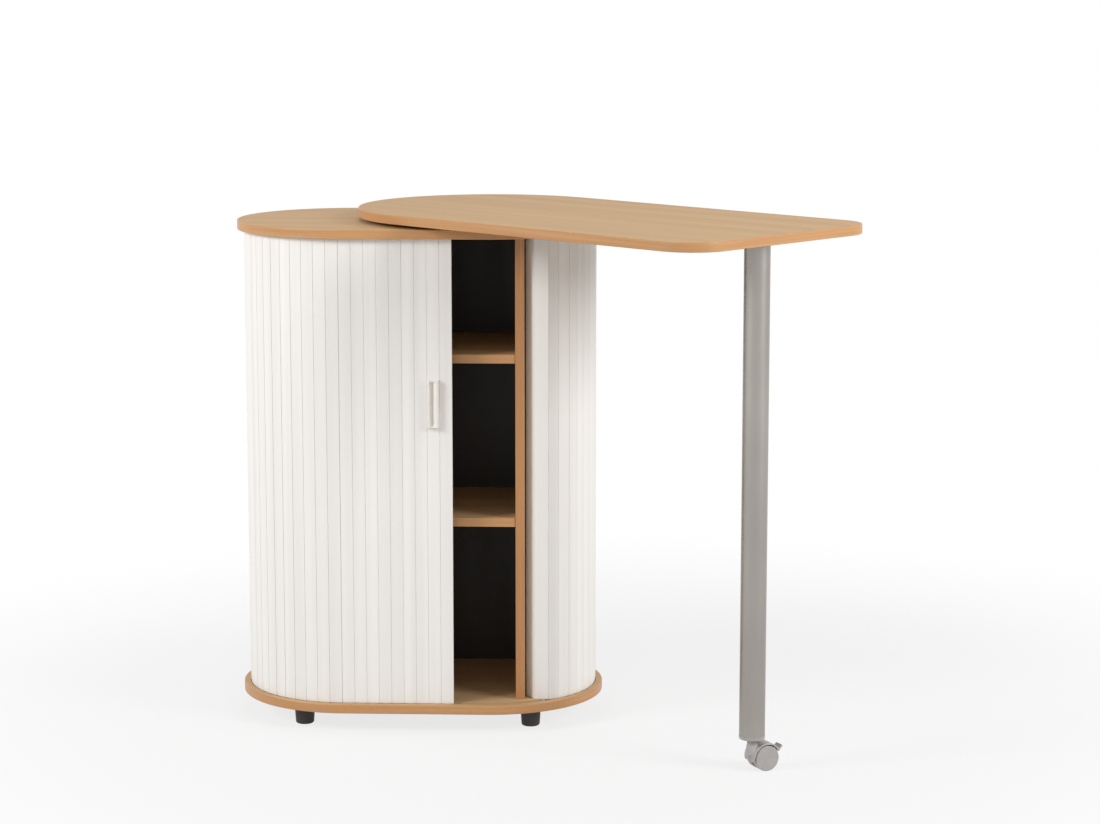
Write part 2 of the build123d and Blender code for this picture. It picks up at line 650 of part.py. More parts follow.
# Pivot bolt, hexagon head below, screwed up into the table
with BuildPart() as pivot_bolt:
    head_top = TOP_UNDER - RUN_GAP - WASHER_T
    with BuildSketch(Plane.XY.offset(head_top - BOLT_HEAD_H)):
        with Locations(PIVOT):
            RegularPolygon(BOLT_HEAD_FLATS / 2, 6, major_radius=False)
    extrude(amount=BOLT_HEAD_H)
    pegs([PIVOT], head_top, TABLE_Z + NUT_L, BOLT_R)
pivot_bolt.part.label = "pivot_bolt"
export_step(pivot_bolt.part, "parts/pivot_bolt.step")

# Washer under the cabinet top
with BuildPart() as pivot_washer:
    pegs([PIVOT], head_top, head_top + WASHER_T, WASHER_R)
    bore([PIVOT], head_top, head_top + WASHER_T, BOLT_R + GLUE_GAP)
pivot_washer.part.label = "pivot_washer"
export_step(pivot_washer.part, "parts/pivot_washer.step")

# Insert nut in the table
with BuildPart() as insert_nut:
    pegs([PIVOT], TABLE_Z, TABLE_Z + NUT_L, BOLT_R + GLUE_GAP + NUT_WALL)
    bore([PIVOT], TABLE_Z, TABLE_Z + NUT_L, BOLT_R + GLUE_GAP)
insert_nut.part.label = "insert_nut"
export_step(insert_nut.part, "parts/insert_nut.step")

leg_place = along(TABLE_ANGLE, LEG_REACH, PIVOT)
table_plane = Plane(
    origin=(*PIVOT, TABLE_Z), x_dir=(*along(TABLE_ANGLE, 1), 0), z_dir=(0, 0, 1)
)
socket_screw_places = [
    along(TABLE_ANGLE + angle, SOCKET_SCREW_PCD / 2, leg_place) for angle in SOCKET_SCREW_ANGLES
]


def table_outline(inset):
    """Outline of the table: round at the pivot, square outside with rounded corners."""
    half = TABLE_HALF_W - inset
    end = TABLE_REACH - inset
    corner = TABLE_CORNER_R - inset
    with BuildLine() as outline:
        CenterArc((0, 0), half, 90, 180)
        Line((0, -half), (end - corner, -half))
        CenterArc((end - corner, -half + corner), corner, -90, 90)
        Line((end, -half + corner), (end, half - corner))
        CenterArc((end - corner, half - corner), corner, 0, 90)
        Line((end - corner, half), (0, half))
    make_face(outline.edges())


# Table board, bored underneath for the pivot and the leg
with BuildPart() as table_top:
    with BuildSketch(table_plane):
        table_outline(BAND_T)
    extrude(amount=PANEL_T)
    bore([PIVOT], TABLE_Z, TABLE_Z + NUT_L + GLUE_GAP, BOLT_R + 2 * GLUE_GAP + NUT_WALL)
    bore(socket_screw_places, TABLE_Z, TABLE_Z + SOCKET_SCREW_BITE, SOCKET_SCREW_R + GLUE_GAP)
table_top.part.label = "table_top"
export_step(table_top.part, "parts/table_top.step")

# Edging round the table board
with BuildPart() as table_edge_band:
    with BuildSketch(table_plane):
        table_outline(0)
    extrude(amount=PANEL_T)
    rims = table_edge_band.faces().filter_by(Axis.Z)
    fillet(rims.edges(), EDGE_ROUND)
    with BuildSketch(table_plane):
        table_outline(BAND_T - GLUE_GAP)
    extrude(amount=PANEL_T, mode=Mode.SUBTRACT)
table_edge_band.part.label = "table_edge_band"
export_step(table_edge_band.part, "parts/table_edge_band.step")

socket_r = TUBE_R - TUBE_WALL - GLUE_GAP
cup_top = TABLE_Z - SOCKET_WALL
grub_plane = Plane(
    origin=(*leg_place, TABLE_Z - GRUB_DROP),
    x_dir=(0, 0, 1),
    z_dir=(*along(TABLE_ANGLE + 180, 1), 0),
)

# Socket screwed under the table, inside the head of the tube
with BuildPart() as leg_socket:
    pegs([leg_place], TABLE_Z - SOCKET_H, TABLE_Z, socket_r)
    bore([leg_place], TABLE_Z - SOCKET_H, cup_top, socket_r - SOCKET_WALL)
    bore(socket_screw_places, cup_top, TABLE_Z, SOCKET_SCREW_R + GLUE_GAP)
    with BuildSketch(grub_plane):
        Circle(GRUB_R + GLUE_GAP)
    extrude(amount=TUBE_R, mode=Mode.SUBTRACT)
leg_socket.part.label = "leg_socket"
export_step(leg_socket.part, "parts/leg_socket.step")

# Screws of the socket
with BuildPart() as leg_socket_screws:
    pegs(socket_screw_places, cup_top - SOCKET_SCREW_HEAD_H, cup_top, SOCKET_SCREW_HEAD_R)
    pegs(socket_screw_places, cup_top, TABLE_Z + SOCKET_SCREW_BITE - GLUE_GAP, SOCKET_SCREW_R)
leg_socket_screws.part.label = "leg_socket_screws"
export_step(leg_socket_screws.part, "parts/leg_socket_screws.step")

tube_low = CASTOR_H + CAP_LIP_H

# Leg tube, from the cap to the underside of the table
with BuildPart() as leg_tube:
    pegs([leg_place], tube_low, TABLE_Z, TUBE_R)
    bore([leg_place], tube_low, TABLE_Z, TUBE_R - TUBE_WALL)
    with BuildSketch(grub_plane):
        Circle(GRUB_R + GLUE_GAP)
    extrude(amount=TUBE_R, mode=Mode.SUBTRACT)
leg_tube.part.label = "leg_tube"
export_step(leg_tube.part, "parts/leg_tube.step")

# Grub screw that locks the tube on its socket
with BuildPart() as leg_grub_screw:
    with BuildSketch(grub_plane.offset(socket_r - SOCKET_WALL)):
        Circle(GRUB_R)
    extrude(amount=SOCKET_WALL + TUBE_WALL)
leg_grub_screw.part.label = "leg_grub_screw"
export_step(leg_grub_screw.part, "parts/leg_grub_screw.step")

# Cap in the foot of the tube, which holds the castor's stem
with BuildPart() as leg_cap:
    pegs([leg_place], CASTOR_H, tube_low, TUBE_R + CAP_LIP_STEP)
    fillet(leg_cap.edges().group_by(Axis.Z)[0], CAP_ROUND)
    pegs([leg_place], tube_low, tube_low + CAP_PLUG_H, socket_r)
    bore([leg_place], CASTOR_H, CASTOR_H + STEM_IN_CAP + GLUE_GAP, STEM_R + GLUE_GAP)
leg_cap.part.label = "leg_cap"
export_step(leg_cap.part, "parts/leg_cap.step")

stem_low = WHEEL_R + math.sqrt((WHEEL_R + HOOD_GAP + HOOD_WALL) ** 2 - TRAIL**2) + NECK_GAP

# Stem, screwed into the cap, on which the castor swivels
with BuildPart() as castor_stem:
    pegs([leg_place], stem_low, CASTOR_H + STEM_IN_CAP, STEM_R)
castor_stem.part.label = "castor_stem"
export_step(castor_stem.part, "parts/castor_stem.step")

# Upright plane through the castor: X along its trail, Y up
castor_side = Plane(
    origin=(*leg_place, 0),
    x_dir=(*along(CASTOR_ANGLE, 1), 0),
    z_dir=(*along(CASTOR_ANGLE - 90, 1), 0),
)
axle_at = (TRAIL, WHEEL_R)
hood_inner = WHEEL_R + HOOD_GAP
hood_outer = hood_inner + HOOD_WALL
lever_at = along(LEVER_ANGLE, LEVER_PIVOT_R, axle_at)
wheel_inner = WEB_T / 2 + WHEEL_SIDE_GAP
wheel_outer = CASTOR_W / 2
axle_end = wheel_outer - AXLE_END_GAP

# Castor housing: hood over both wheels, web between them, neck round the stem
with BuildPart() as castor_housing:
    with BuildSketch(castor_side):
        with BuildLine():
            hood_sweep = HOOD_FRONT_ANGLE - HOOD_REAR_ANGLE
            outer_arc = CenterArc(axle_at, hood_outer, HOOD_REAR_ANGLE, hood_sweep)
            inner_arc = CenterArc(axle_at, hood_inner, HOOD_REAR_ANGLE, hood_sweep)
            Line(outer_arc @ 0, inner_arc @ 0)
            Line(outer_arc @ 1, inner_arc @ 1)
        make_face()
    extrude(amount=CASTOR_W / 2, both=True)
    hood_rims = castor_housing.edges().filter_by(GeomType.CIRCLE).sort_by(SortBy.RADIUS)[-2:]
    fillet(hood_rims, HOOD_ROUND)
    with BuildSketch(Plane.XY.offset(NECK_FOOT_Z)):
        with Locations(leg_place):
            Circle(NECK_FOOT_R)
    with BuildSketch(Plane.XY.offset(CASTOR_H - NECK_GAP)):
        with Locations(leg_place):
            Circle(NECK_TOP_R)
    loft()
    with BuildSketch(castor_side):
        with Locations(axle_at):
            Circle(hood_inner)
    extrude(amount=CASTOR_W, both=True, mode=Mode.SUBTRACT)
    with BuildSketch(castor_side):
        with Locations(axle_at):
            Circle(hood_inner + HOOD_WALL / 2)
        with Locations((TRAIL, WEB_FLOOR)):
            below = 2 * hood_outer
            Rectangle(below, below, align=(Align.CENTER, Align.MAX), mode=Mode.SUBTRACT)
        with BuildLine():
            Polyline(
                along(LEVER_ANGLE + 90, LUG_R, lever_at),
                along(LEVER_ANGLE + 90, LUG_R, axle_at),
                along(LEVER_ANGLE - 90, LUG_R, axle_at),
                along(LEVER_ANGLE - 90, LUG_R, lever_at),
                close=True,
            )
        make_face()
        with Locations(lever_at):
            Circle(LUG_R)
            Circle(LEVER_PIN_R + BOLT_RUN, mode=Mode.SUBTRACT)
        with Locations(axle_at):
            Circle(AXLE_R + GLUE_GAP, mode=Mode.SUBTRACT)
    extrude(amount=WEB_T / 2, both=True)
    bore([leg_place], stem_low - NECK_GAP / 2, CASTOR_H, STEM_R + BOLT_RUN)
castor_housing.part.label = "castor_housing"
export_step(castor_housing.part, "parts/castor_housing.step")

# Axle across the web
with BuildPart() as castor_axle:
    with BuildSketch(castor_side):
        with Locations(axle_at):
            Circle(AXLE_R)
    extrude(amount=axle_end, both=True)
castor_axle.part.label = "castor_axle"
export_step(castor_axle.part, "parts/castor_axle.step")

# Wheels, one on each side of the web, closed and slightly domed outside
for side, name in ((1, "castor_wheel_near"), (-1, "castor_wheel_far")):
    axle_plane = Plane(
        origin=castor_side.from_local_coords((*axle_at, 0)),
        x_dir=castor_side.y_dir,
        z_dir=castor_side.x_dir * side,
    )
    with BuildPart() as wheel:
        with BuildSketch(axle_plane):
            with BuildLine():
                shoulder = WHEEL_R - WHEEL_ROUND
                rim = wheel_outer - WHEEL_DOME
                wheel_bore = AXLE_R + BOLT_RUN
                bore_end = axle_end + RUN_GAP
                Line((wheel_bore, wheel_inner), (shoulder, wheel_inner))
                CenterArc((shoulder, wheel_inner + WHEEL_ROUND), WHEEL_ROUND, -90, 90)
                Line((WHEEL_R, wheel_inner + WHEEL_ROUND), (WHEEL_R, rim - WHEEL_ROUND))
                CenterArc((shoulder, rim - WHEEL_ROUND), WHEEL_ROUND, 0, 90)
                TangentArc((0, wheel_outer), (shoulder, rim), tangent=(1, 0, 0))
                Polyline((0, wheel_outer), (0, bore_end), (wheel_bore, bore_end))
                Line((wheel_bore, bore_end), (wheel_bore, wheel_inner))
            make_face()
        revolve(axis=Axis(axle_plane.origin, axle_plane.y_dir))
    wheel.part.label = name
    export_step(wheel.part, f"parts/{name}.step")

# Brake lever: two ears on a pin through the web's lug, and a foot tab
lever_plane = Plane(
    origin=castor_side.from_local_coords((*lever_at, 0)),
    x_dir=castor_side.x_dir.rotate(Axis((0, 0, 0), castor_side.z_dir), TAB_ANGLE),
    z_dir=castor_side.z_dir,
)
with BuildPart() as brake_lever:
    ear_gap = WEB_T / 2 + LUG_GAP
    tab_start = LUG_R + LUG_GAP
    for side in (1, -1):
        with BuildSketch(lever_plane.offset(side * ear_gap)):
            Circle(LEVER_BARREL_R)
            Rectangle(tab_start + LUG_GAP, LEVER_T, align=(Align.MIN, Align.CENTER))
        extrude(amount=side * (LEVER_W / 2 - ear_gap))
    with BuildSketch(lever_plane):
        Circle(LEVER_PIN_R)
        with Locations((tab_start, 0)):
            Rectangle(LEVER_L - tab_start, LEVER_T, align=(Align.MIN, Align.CENTER))
    extrude(amount=LEVER_W / 2, both=True)
    tab_edges = brake_lever.edges().filter_by(Axis(lever_plane.origin, lever_plane.y_dir))
    fillet(tab_edges.sort_by(Axis(lever_plane.origin, lever_plane.x_dir))[-2:], LEVER_CORNER_R)
brake_lever.part.label = "brake_lever"
export_step(brake_lever.part, "parts/brake_lever.step")
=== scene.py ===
import math

import bmesh
import bpy
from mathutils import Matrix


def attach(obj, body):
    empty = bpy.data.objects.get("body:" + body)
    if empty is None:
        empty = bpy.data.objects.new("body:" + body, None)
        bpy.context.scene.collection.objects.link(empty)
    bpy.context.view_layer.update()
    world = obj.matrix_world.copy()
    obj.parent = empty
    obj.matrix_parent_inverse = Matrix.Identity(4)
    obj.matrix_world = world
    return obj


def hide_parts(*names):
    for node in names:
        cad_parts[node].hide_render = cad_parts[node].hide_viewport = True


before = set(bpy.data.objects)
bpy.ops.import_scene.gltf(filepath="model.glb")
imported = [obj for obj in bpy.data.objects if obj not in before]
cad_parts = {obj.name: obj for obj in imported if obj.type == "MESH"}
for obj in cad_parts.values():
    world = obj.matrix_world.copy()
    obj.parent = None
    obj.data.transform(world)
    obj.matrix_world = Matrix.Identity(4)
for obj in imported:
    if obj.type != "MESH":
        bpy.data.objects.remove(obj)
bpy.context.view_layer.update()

# Base board: particle board faced with beech laminate, cut to a long round-ended shape.
# The groove for the curtain is routed into its face and the feet are screwed up into it.


def tone(red, green, blue):
    """Colour as it is seen, 0 to 255, in the form a shader takes."""
    linear = []
    for value in (red, green, blue):
        share = value / 255
        linear.append(share / 12.92 if share <= 0.04045 else ((share + 0.055) / 1.055) ** 2.4)
    return (*linear, 1.0)


FIGURE_SPAN = (0.32, 0.68)
FLECK_SPAN = (0.52, 0.72)
GLOSS_SPAN = (0.3, 0.7)


def surface(
    name, pale, deep, figure, fleck, turn=(0, 0, 0), shade=0.1, gloss=(0.4, 0.5), relief=0.00003
):
    """Finish in two tones: a broad figure with short flecks, and gloss and relief to match.

    The sizes of figure and flecks are in metres along three axes, turned with the piece.
    The spans are the shares of the noise over which tone, flecks and gloss change.
    """
    made = bpy.data.materials.new(name)
    made.use_nodes = True
    nodes = made.node_tree.nodes
    link = made.node_tree.links.new
    shader = nodes["Principled BSDF"]
    place = nodes.new("ShaderNodeTexCoord")

    def ranged(source, span, values):
        change = nodes.new("ShaderNodeMapRange")
        sockets = ("From Min", "From Max", "To Min", "To Max")
        for socket, value in zip(sockets, (*span, *values)):
            change.inputs[socket].default_value = value
        link(source, change.inputs["Value"])
        return change.outputs["Result"]

    patterns = []
    for size in (figure, fleck):
        spread = nodes.new("ShaderNodeMapping")
        spread.vector_type = "TEXTURE"
        spread.inputs["Rotation"].default_value = turn
        spread.inputs["Scale"].default_value = size
        noise = nodes.new("ShaderNodeTexNoise")
        noise.inputs["Scale"].default_value = 1.0
        noise.inputs["Detail"].default_value = 3.0
        link(place.outputs["Object"], spread.inputs["Vector"])
        link(spread.outputs["Vector"], noise.inputs["Vector"])
        patterns.append(noise.outputs[0])
    drift, grit = patterns
    tones = nodes.new("ShaderNodeValToRGB")
    for stop, share, shown in zip(tones.color_ramp.elements, FIGURE_SPAN, (deep, pale)):
        stop.position = share
        stop.color = shown
    link(drift, tones.inputs["Fac"])
    colour = nodes.new("ShaderNodeMix")
    colour.data_type = "RGBA"
    colour.blend_type = "MULTIPLY"
    colour.inputs["Factor"].default_value = 1.0
    link(tones.outputs["Color"], colour.inputs[6])
    link(ranged(grit, FLECK_SPAN, (1.0, 1.0 - shade)), colour.inputs[7])
    link(colour.outputs[2], shader.inputs["Base Color"])
    link(ranged(drift, GLOSS_SPAN, gloss), shader.inputs["Roughness"])
    bump = nodes.new("ShaderNodeBump")
    bump.inputs["Distance"].default_value = relief
    link(grit, bump.inputs["Height"])
    link(bump.outputs["Normal"], shader.inputs["Normal"])
    return made


def dress(finish, *names):
    """Give a finish to CAD pieces that keep their shape."""
    for name in names:
        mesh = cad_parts[name].data
        mesh.materials.clear()
        mesh.materials.append(finish)


BEECH_PALE = tone(200, 166, 124)
BEECH_DEEP = tone(187, 152, 110)
BOARD_FIGURE = (0.8, 0.05, 0.05)
BOARD_FLECK = (0.012, 0.0008, 0.0008)
BOARD_GLOSS = (0.64, 0.74)
beech_along = surface(
    "beech_laminate_along",
    BEECH_PALE,
    BEECH_DEEP,
    BOARD_FIGURE,
    BOARD_FLECK,
    gloss=BOARD_GLOSS,
)
dress(beech_along, "base_panel")

# Base edging: a beech strip 2.5 mm thick, bent round the board, glued and rounded over.
# Its grain runs along the strip.


def begin(name):
    """Name the primitive that was just added and open it for editing."""
    piece = bpy.context.object
    piece.name = name
    piece.data.name = name
    bpy.ops.object.mode_set(mode="EDIT")
    bpy.ops.mesh.select_mode(type="VERT")
    return piece


def pick(piece, kind, wanted):
    """Select only the wanted verts, edges or faces of a piece in edit mode."""
    bpy.ops.mesh.select_mode(type={"verts": "VERT", "edges": "EDGE", "faces": "FACE"}[kind])
    bpy.ops.mesh.select_all(action="DESELECT")
    mesh = bmesh.from_edit_mesh(piece.data)
    mesh.normal_update()
    for element in getattr(mesh, kind):
        if wanted(element):
            element.select_set(True)
    bmesh.update_edit_mesh(piece.data)


def mend(gap=1e-6):
    """Join the doubled points of the piece in edit mode and turn its faces outwards."""
    bpy.ops.mesh.select_all(action="SELECT")
    bpy.ops.mesh.remove_doubles(threshold=gap)
    bpy.ops.mesh.select_all(action="SELECT")
    bpy.ops.mesh.normals_make_consistent(inside=False)


SMOOTH_UNDER = math.radians(32)


def fit(piece, finish, body, slot, *stands_for):
    """Close a modelled piece: its place, smooth faces, its finish, and what it moves with."""
    bpy.ops.object.mode_set(mode="OBJECT")
    bpy.ops.object.transform_apply(location=True, rotation=True, scale=True)
    bpy.ops.object.shade_smooth_by_angle(angle=SMOOTH_UNDER)
    shading = piece.modifiers.new("flats_stay_flat", "WEIGHTED_NORMAL")
    shading.keep_sharp = True
    bpy.ops.object.modifier_apply(modifier=shading.name)
    piece.data.materials.clear()
    piece.data.materials.append(finish)
    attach(piece, body)
    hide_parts(*stands_for)
    return piece


BOARD_T = 0.019
STRIP_T = 0.0025
STRIP_ROUND = 0.0018
STRIP_LAP = 0.0004
CORNER_STEPS = 56
ROUND_STEPS = 5
SAME_PLACE = 0.00001
LEVEL = 0.9


def edging(name, left, right, half_width, left_round, right_round):
    """Strip round a board along X: the board's outline is drawn, and only its rim is kept."""
    bpy.ops.object.select_all(action="DESELECT")
    bpy.ops.mesh.primitive_plane_add(size=1)
    strip = begin(name)
    bpy.ops.transform.resize(value=(right - left, 2 * half_width, 1), center_override=(0, 0, 0))
    bpy.ops.transform.translate(value=((left + right) / 2, 0, 0))
    for end, radius in ((left, left_round), (right, right_round)):
        pick(strip, "verts", lambda vert: abs(vert.co.x - end) < SAME_PLACE)
        bpy.ops.mesh.bevel(offset=radius - SAME_PLACE / 2, segments=CORNER_STEPS, affect="VERTICES")
    mend(SAME_PLACE * 2)
    bpy.ops.mesh.inset(thickness=STRIP_T + STRIP_LAP, use_even_offset=True)
    bpy.ops.mesh.delete(type="FACE")
    bpy.ops.mesh.select_all(action="SELECT")
    bpy.ops.mesh.extrude_region_move(TRANSFORM_OT_translate={"value": (0, 0, BOARD_T)})
    mend()
    middle = (left + right) / 2

    def rim(edge, outside):
        flat = [face for face in edge.link_faces if abs(face.normal.z) > LEVEL]
        wall = [face for face in edge.link_faces if abs(face.normal.z) < 1 - LEVEL]
        if len(flat) != 1 or len(wall) != 1:
            return False
        spot = wall[0].calc_center_median()
        outward = wall[0].normal.x * (spot.x - middle) + wall[0].normal.y * spot.y > 0
        return outward == outside

    pick(strip, "edges", lambda edge: rim(edge, True))
    bpy.ops.mesh.bevel(offset=STRIP_ROUND, segments=ROUND_STEPS, affect="EDGES")
    pick(strip, "edges", lambda edge: rim(edge, False))
    bpy.ops.mesh.bevel(offset=STRIP_LAP, segments=1, affect="EDGES")
    bpy.ops.object.mode_set(mode="OBJECT")
    return strip


FOOT_H = 0.04
STRAIGHT_HALF = 0.145
END_R = 0.228
END_X = STRAIGHT_HALF + END_R
beech_edge = surface(
    "beech_edging",
    tone(199, 150, 100),
    tone(188, 136, 87),
    (0.35, 0.35, 0.004),
    (0.02, 0.02, 0.0007),
    shade=0.12,
    gloss=(0.36, 0.46),
)
base_edging = edging("base_edging", -END_X, END_X, END_R, END_R, END_R)
base_edging.location.z = FOOT_H
fit(base_edging, beech_edge, "cabinet", "beech_edge", "base_edge_band")

# Feet: four tapered black plastic feet, moulded, each held by one screw up through its bore.
# The soles are rounded so that the cabinet can be pushed over a floor.


def turned(name, half_section, steps=64):
    """Piece turned about the upright axis, from its half section given as radius and height."""
    bpy.ops.object.select_all(action="DESELECT")
    bpy.ops.mesh.primitive_plane_add(size=0.001)
    piece = begin(name)
    bpy.ops.mesh.merge(type="CENTER")
    bpy.ops.transform.translate(value=(half_section[0][0], 0, half_section[0][1]))
    for start, stop in zip(half_section, half_section[1:]):
        step = (stop[0] - start[0], 0, stop[1] - start[1])
        bpy.ops.mesh.extrude_region_move(TRANSFORM_OT_translate={"value": step})
    bpy.ops.mesh.select_all(action="SELECT")
    bpy.ops.mesh.spin(steps=steps, angle=2 * math.pi, center=(0, 0, 0), axis=(0, 0, 1))
    mend()
    bpy.ops.object.mode_set(mode="OBJECT")
    return piece


def ease(piece, width, segments=3, sharper_than=30):
    """Round the sharp edges of a piece."""
    rounding = piece.modifiers.new("eased", "BEVEL")
    rounding.width = width
    rounding.segments = segments
    rounding.limit_method = "ANGLE"
    rounding.angle_limit = math.radians(sharper_than)
    bpy.ops.object.modifier_apply(modifier=rounding.name)


def twin(piece, name):
    """Copy of a piece, with a mesh of its own."""
    copy = bpy.data.objects.new(name, piece.data.copy())
    bpy.context.collection.objects.link(copy)
    return copy


def copies(piece, places):
    """Stand a piece and its copies at several places, and join them to one.

    A place is x, y, z and, where the piece is turned, its angle about the upright axis.
    """
    group = [piece] + [twin(piece, piece.name) for place in places[1:]]
    for member, place in zip(group, places):
        member.location = place[:3]
        member.rotation_euler.z = sum(place[3:])
    bpy.ops.object.select_all(action="DESELECT")
    for member in group:
        member.select_set(True)
    bpy.context.view_layer.objects.active = piece
    bpy.ops.object.transform_apply(location=True, rotation=True, scale=True)
    bpy.ops.object.join()


FOOT_X, FOOT_Y = 0.231, 0.15
FOOT_BORE_R, FOOT_BORE_H = 0.0056, 0.026
FOOT_SOLE_R, FOOT_NECK_R, FOOT_GROOVE_R = 0.0185, 0.0206, 0.0202
FOOT_COLLAR_R, FOOT_HEAD_R = 0.0207, 0.0209
FOOT_NECK_Z, FOOT_GROOVE_LOW, FOOT_GROOVE_HIGH = 0.0345, 0.0349, 0.0357
FOOT_COLLAR_Z = 0.0361
SOLE_ROUND = 0.004
foot_half_section = [
    (0, FOOT_BORE_H),
    (FOOT_BORE_R, FOOT_BORE_H),
    (FOOT_BORE_R, 0),
    (FOOT_SOLE_R, 0),
    (FOOT_NECK_R, FOOT_NECK_Z),
    (FOOT_GROOVE_R, FOOT_GROOVE_LOW),
    (FOOT_GROOVE_R, FOOT_GROOVE_HIGH),
    (FOOT_COLLAR_R, FOOT_COLLAR_Z),
    (FOOT_HEAD_R, FOOT_H),
    (0, FOOT_H),
]
foot_black = surface(
    "moulded_black",
    tone(50, 45, 44),
    tone(40, 36, 35),
    (0.02, 0.02, 0.02),
    (0.0006, 0.0006, 0.0006),
    gloss=(0.5, 0.62),
)
feet = turned("cabinet_feet", foot_half_section)


def sole_rim(edge):
    """Outer edge of the sole."""
    return all(
        vert.co.z < SAME_PLACE and vert.co.xy.length > FOOT_BORE_R * 2 for vert in edge.verts
    )


bpy.ops.object.mode_set(mode="EDIT")
pick(feet, "edges", sole_rim)
bpy.ops.mesh.bevel(offset=SOLE_ROUND, segments=6, affect="EDGES")
bpy.ops.object.mode_set(mode="OBJECT")
copies(feet, [(x, y, 0) for x in (-FOOT_X, FOOT_X) for y in (-FOOT_Y, FOOT_Y)])
fit(feet, foot_black, "cabinet", "foot_plastic", "feet")

# Screws of the base: zinc-plated steel. Three hold each divider from below, and one holds
# each foot.
zinc = surface(
    "zinc_plated_steel",
    tone(205, 205, 202),
    tone(180, 180, 178),
    (0.01, 0.01, 0.01),
    (0.0004, 0.0004, 0.0004),
    gloss=(0.28, 0.42),
)
zinc.node_tree.nodes["Principled BSDF"].inputs["Metallic"].default_value = 1.0
dress(zinc, "base_screws", "foot_screws")

# Dividers, shelves and back: the dividers are beech-faced boards screwed to the base and
# dowelled to the top, the shelves lie on steel pegs, and a dark back board slides in grooves.
beech_upright = surface(
    "beech_laminate_upright",
    BEECH_PALE,
    BEECH_DEEP,
    BOARD_FIGURE[::-1],
    BOARD_FLECK[::-1],
    gloss=BOARD_GLOSS,
)
dress(beech_upright, "divider_left", "divider_right")
dress(beech_along, "shelf_lower", "shelf_upper")
dark_melamine = surface(
    "dark_melamine",
    tone(40, 35, 31),
    tone(32, 28, 25),
    (0.03, 0.03, 0.6),
    (0.0008, 0.0008, 0.01),
    gloss=(0.5, 0.6),
)
dress(dark_melamine, "back_panel")
dress(zinc, "shelf_pegs")
bare_beech = surface(
    "bare_beech",
    tone(222, 190, 150),
    tone(206, 168, 126),
    (0.004, 0.004, 0.1),
    BOARD_FLECK[::-1],
)
dress(bare_beech, "top_dowels")

# Edging of dividers and shelves: thin beech strips ironed on to the front edges,
# with their corners eased by hand.
LIPPING_ROUND = 0.0007


def lipping(name, places, size):
    """Strips of one size at several places, eased along their front edges."""
    bpy.ops.object.select_all(action="DESELECT")
    bpy.ops.mesh.primitive_cube_add(size=1)
    strip = begin(name)
    bpy.ops.transform.resize(value=size, center_override=(0, 0, 0))

    def front_edge(edge):
        return all(vert.co.y < 0 for vert in edge.verts) and edge.calc_length() > min(size) * 2

    pick(strip, "edges", front_edge)
    bpy.ops.mesh.bevel(offset=LIPPING_ROUND, segments=3, affect="EDGES")
    bpy.ops.object.mode_set(mode="OBJECT")
    copies(strip, places)
    return strip


DIVIDER_X = 0.211
DIVIDER_FRONT = 0.1725
THIN_T = 0.0015
INNER_T = 0.018
BASE_TOP = FOOT_H + BOARD_T
DIVIDER_H = 0.942
SHELF_TOPS = (0.433, 0.765)
SHELF_W = 0.403
SHELF_SETBACK = 0.002
strip_y = -DIVIDER_FRONT + THIN_T / 2
divider_lipping = lipping(
    "divider_lipping",
    [(x, strip_y, BASE_TOP + DIVIDER_H / 2) for x in (-DIVIDER_X, DIVIDER_X)],
    (INNER_T, THIN_T, DIVIDER_H),
)
# Divider edging: its grain runs up the strip, and its tones are darker than the other edging's. The
# darker tones are painted shade, for the shade that falls inside the cabinet.
shaded_beech_edge_upright = surface(
    "beech_edging_upright_painted_shade",
    tone(190, 138, 89),
    tone(179, 124, 77),
    (0.004, 0.004, 0.35),
    (0.0007, 0.0007, 0.02),
    shade=0.12,
    gloss=(0.36, 0.46),
)
fit(divider_lipping, shaded_beech_edge_upright, "cabinet", "beech_edge", "divider_edges")
shelf_lipping = lipping(
    "shelf_lipping",
    [(0, strip_y + SHELF_SETBACK, top - INNER_T / 2) for top in SHELF_TOPS],
    (SHELF_W, THIN_T, INNER_T),
)
fit(shelf_lipping, beech_edge, "cabinet", "beech_edge", "shelf_edges")

# Curtain: upright slats of extruded off-white plastic, 25 mm apart, each hooked into the next
# by a thin lip just behind its face. Guide tongues at both ends run in the grooves.
SLAT_PITCH = 0.025
SLAT_JOINT = 0.0005
SLAT_CLEAR = 0.0003
SLAT_LOW = BASE_TOP + SLAT_CLEAR
SLAT_HIGH = BASE_TOP + DIVIDER_H - SLAT_CLEAR
SLAT_H = SLAT_HIGH - SLAT_LOW
SLAT_ARRIS = 0.0004
TONGUE_SIZE = (0.012, 0.004, 0.0085)
TONGUE_HIDDEN = 0.0025
FACE = 0.0045
LIP_FACE = 0.0036
LIP_BACK = 0.0028


